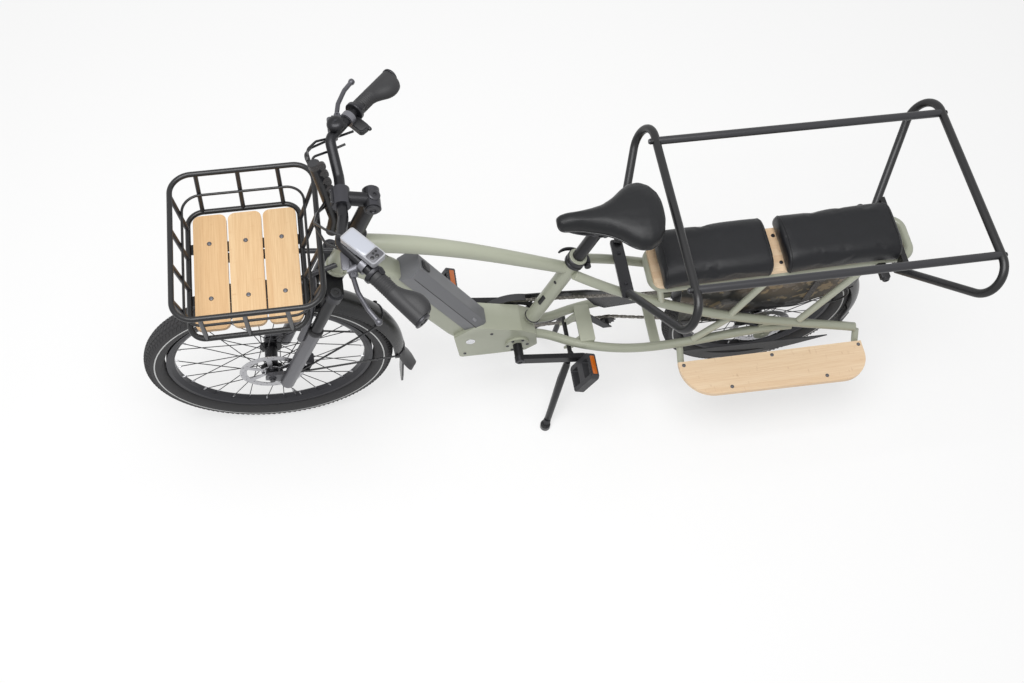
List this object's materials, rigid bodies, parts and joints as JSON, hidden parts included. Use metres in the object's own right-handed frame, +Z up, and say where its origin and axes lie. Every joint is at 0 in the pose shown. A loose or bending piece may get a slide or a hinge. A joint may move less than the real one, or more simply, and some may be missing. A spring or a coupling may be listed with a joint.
{
  "type": "electric longtail cargo bike",
  "caption": "Electric longtail cargo bicycle with a front basket, a padded rear deck inside rails, side footboards and a two-legged stand.",
  "frame": {"origin": "on the floor, midway along, across and under the bike", "axes": "+X forward, +Y to the rider's left, +Z up"},
  "size_m": [1.997, 0.6324, 1.0252],
  "materials": {
    "sage_paint": "satin",
    "black_paint": "satin",
    "black_alloy": "satin",
    "grey_shell": "satin",
    "black_plastic": "matte",
    "smoke_plastic": "satin",
    "tyre_rubber": "matte",
    "grip_rubber": "matte",
    "bamboo": "satin",
    "vinyl": "satin",
    "steel": "brushed",
    "chain_steel": "oiled",
    "lamp_red": "glossy"
  },
  "bodies": {
    "frame": {"head_tube": "sage_paint", "top_tube": "sage_paint", "down_tube": "sage_paint", "seat_tube": "sage_paint", "upper_stays": "sage_paint", "lower_stays": "sage_paint", "cross_plates": "sage_paint", "rack_frame": "sage_paint", "rack_struts": "sage_paint", "deck_board": "bamboo", "seat_pad_front": "vinyl", "seat_pad_rear": "vinyl", "hoop_front": "black_paint", "hoop_rear": "black_paint", "side_rails": "black_paint", "footboard_frames": "sage_paint", "footboards": "bamboo", "wheel_skirts": "smoke_plastic", "heel_guards": "grey_shell", "rear_fender": "black_plastic", "tail_light": "lamp_red", "motor": "sage_paint", "battery": "grey_shell", "seat_post": "black_alloy", "saddle": "vinyl", "chain_guard": "black_plastic", "chain": "chain_steel", "chain_guide": "black_plastic", "derailleur": "black_alloy", "rear_caliper": "black_alloy", "basket_rim": "black_paint", "basket_hoop": "black_paint", "basket_base": "black_paint", "basket_posts": "black_paint", "basket_slats": "bamboo", "basket_mount": "black_paint"},
    "steering": {"fork_lowers": "black_paint", "fork_crown": "steel", "stem": "black_alloy", "handlebar": "black_alloy", "grips": "grip_rubber", "brake_levers": "black_alloy", "bar_controls": "black_plastic", "display": "grey_shell", "front_fender": "black_plastic", "front_caliper": "black_alloy", "cables": "grip_rubber"},
    "front_wheel": {"front_tyre": "tyre_rubber", "front_rim": "black_alloy", "front_hub": "black_alloy", "front_rotor": "steel"},
    "rear_wheel": {"rear_tyre": "tyre_rubber", "rear_rim": "black_alloy", "rear_hub": "black_alloy", "rear_rotor": "steel"},
    "crank": {"crankset": "black_alloy"},
    "pedal_left_body": {"pedal_left": "black_plastic"},
    "pedal_right_body": {"pedal_right": "black_plastic"},
    "stand": {"stand_legs": "black_paint"}
  },
  "joints": [
    {"name": "steer", "type": "hinge", "parent": "frame", "child": "steering", "pos_m": [0.46267, 0, 0.77094], "axis": [-0.3616, 0, 0.9323], "range_deg": [-50, 50]},
    {"name": "front_wheel_spin", "type": "hinge", "parent": "steering", "child": "front_wheel", "pos_m": [0.6905, 0, 0.308], "axis": [0, 1, 0], "continuous": true},
    {"name": "rear_wheel_spin", "type": "hinge", "parent": "frame", "child": "rear_wheel", "pos_m": [-0.5975, 0, 0.257], "axis": [0, 1, 0], "continuous": true},
    {"name": "crank_spin", "type": "hinge", "parent": "frame", "child": "crank", "pos_m": [0.0645, 0, 0.3], "axis": [0, 1, 0], "continuous": true},
    {"name": "pedal_left_spin", "type": "hinge", "parent": "crank", "child": "pedal_left_body", "pos_m": [-0.10041, 0.131, 0.26794], "axis": [0, 1, 0], "continuous": true},
    {"name": "pedal_right_spin", "type": "hinge", "parent": "crank", "child": "pedal_right_body", "pos_m": [0.22941, -0.131, 0.33206], "axis": [0, 1, 0], "continuous": true},
    {"name": "stand_fold", "type": "hinge", "parent": "frame", "child": "stand", "pos_m": [-0.0775, 0, 0.245], "axis": [0, 1, 0], "range_deg": [0, 90]}
  ]
}
